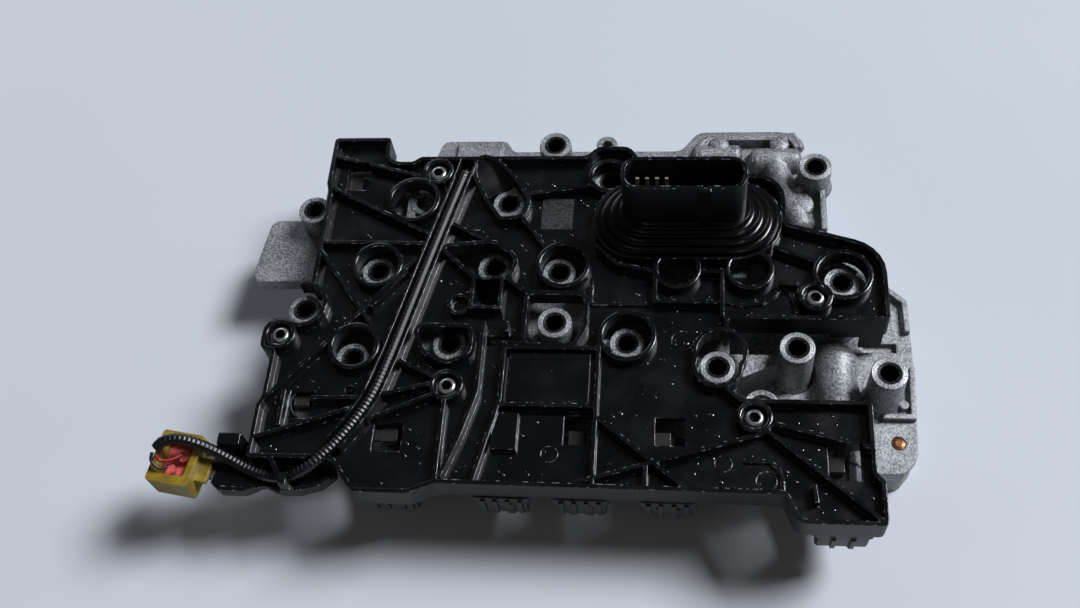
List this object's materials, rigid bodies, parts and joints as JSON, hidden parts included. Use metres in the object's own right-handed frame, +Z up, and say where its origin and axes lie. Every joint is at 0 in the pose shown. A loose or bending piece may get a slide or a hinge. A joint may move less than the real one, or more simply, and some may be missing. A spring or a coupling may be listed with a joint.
{
  "type": "transmission valve body",
  "caption": "Automatic gearbox valve body: cast aluminium block with spool valves and solenoids under a ribbed black conductor plate with a plug socket and a lead.",
  "frame": {"origin": "bottom centre of the bounding box, on the lower casting's underside", "axes": "+X along the long side, away from the small yellow connector; +Y to the back edge by the main connector; +Z up, out of the conductor plate"},
  "size_m": [0.2759, 0.1756, 0.072],
  "materials": {
    "cast_aluminium": "die-cast, grainy, oil-wet",
    "steel_sheet": "rolled",
    "spool_aluminium": "ground, hard-anodised",
    "bolt_steel": "zinc-plated",
    "spring_steel": "drawn wire",
    "black_nylon": "moulded, oil-wet",
    "grey_nylon": "moulded",
    "black_rubber": "moulded",
    "can_steel": "drawn",
    "pin_brass": "stamped, tinned",
    "copper": "pressed in",
    "braid": "braided sleeve",
    "yellow_nylon": "moulded, translucent",
    "pink_rubber": "moulded",
    "dark_wire": "extruded insulation",
    "red_wire": "extruded insulation"
  },
  "bodies": {
    "valve_body": {"casting_bolt_1": "bolt_steel", "casting_bolt_2": "bolt_steel", "casting_bolt_3": "bolt_steel", "casting_bolt_4": "bolt_steel", "casting_bolt_5": "bolt_steel", "conductor_plate": "black_nylon", "connector_pins": "pin_brass", "connector_seal": "black_rubber", "gallery_plug": "copper", "lead_connector": "yellow_nylon", "lead_connector_seal": "pink_rubber", "lead_grommet": "black_rubber", "lead_sleeve": "braid", "lead_wire_dark": "dark_wire", "lead_wire_red": "red_wire", "locating_dowel_1": "bolt_steel", "locating_dowel_2": "bolt_steel", "lower_casting": "cast_aluminium", "plate_screw_1": "bolt_steel", "plate_screw_2": "bolt_steel", "plate_screw_3": "bolt_steel", "plate_screw_4": "bolt_steel", "plate_screw_5": "bolt_steel", "separator_plate": "steel_sheet", "shift_solenoid_1": "can_steel", "shift_solenoid_2": "can_steel", "shift_terminals_1": "grey_nylon", "shift_terminals_2": "grey_nylon", "solenoid_1": "can_steel", "solenoid_2": "can_steel", "solenoid_3": "can_steel", "solenoid_4": "can_steel", "solenoid_5": "can_steel", "solenoid_cap_1": "grey_nylon", "solenoid_cap_2": "grey_nylon", "solenoid_cap_3": "grey_nylon", "solenoid_cap_4": "grey_nylon", "solenoid_cap_5": "grey_nylon", "spool_spring_1": "spring_steel", "spool_spring_2": "spring_steel", "spool_spring_3": "spring_steel", "spool_spring_4": "spring_steel", "spool_spring_5": "spring_steel", "upper_casting": "cast_aluminium"},
    "spool_body_1": {"spool_valve_1": "spool_aluminium"},
    "spool_body_2": {"spool_valve_2": "spool_aluminium"},
    "spool_body_3": {"spool_valve_3": "spool_aluminium"},
    "spool_body_4": {"spool_valve_4": "spool_aluminium"},
    "spool_body_5": {"spool_valve_5": "spool_aluminium"}
  },
  "joints": [
    {"name": "spool_slide_1", "type": "slide", "parent": "valve_body", "child": "spool_body_1", "axis": [0, 1, 0], "range_m": [0, 0.004], "stiffness_N_per_m": 300, "springref_m": -0.01, "deforming": ["spool_spring_1"]},
    {"name": "spool_slide_2", "type": "slide", "parent": "valve_body", "child": "spool_body_2", "axis": [0, 1, 0], "range_m": [0, 0.004], "stiffness_N_per_m": 300, "springref_m": -0.01, "deforming": ["spool_spring_2"]},
    {"name": "spool_slide_3", "type": "slide", "parent": "valve_body", "child": "spool_body_3", "axis": [0, 1, 0], "range_m": [0, 0.004], "stiffness_N_per_m": 300, "springref_m": -0.01, "deforming": ["spool_spring_3"]},
    {"name": "spool_slide_4", "type": "slide", "parent": "valve_body", "child": "spool_body_4", "axis": [0, 1, 0], "range_m": [0, 0.004], "stiffness_N_per_m": 300, "springref_m": -0.01, "deforming": ["spool_spring_4"]},
    {"name": "spool_slide_5", "type": "slide", "parent": "valve_body", "child": "spool_body_5", "axis": [0, 1, 0], "range_m": [0, 0.004], "stiffness_N_per_m": 300, "springref_m": -0.01, "deforming": ["spool_spring_5"]}
  ]
}
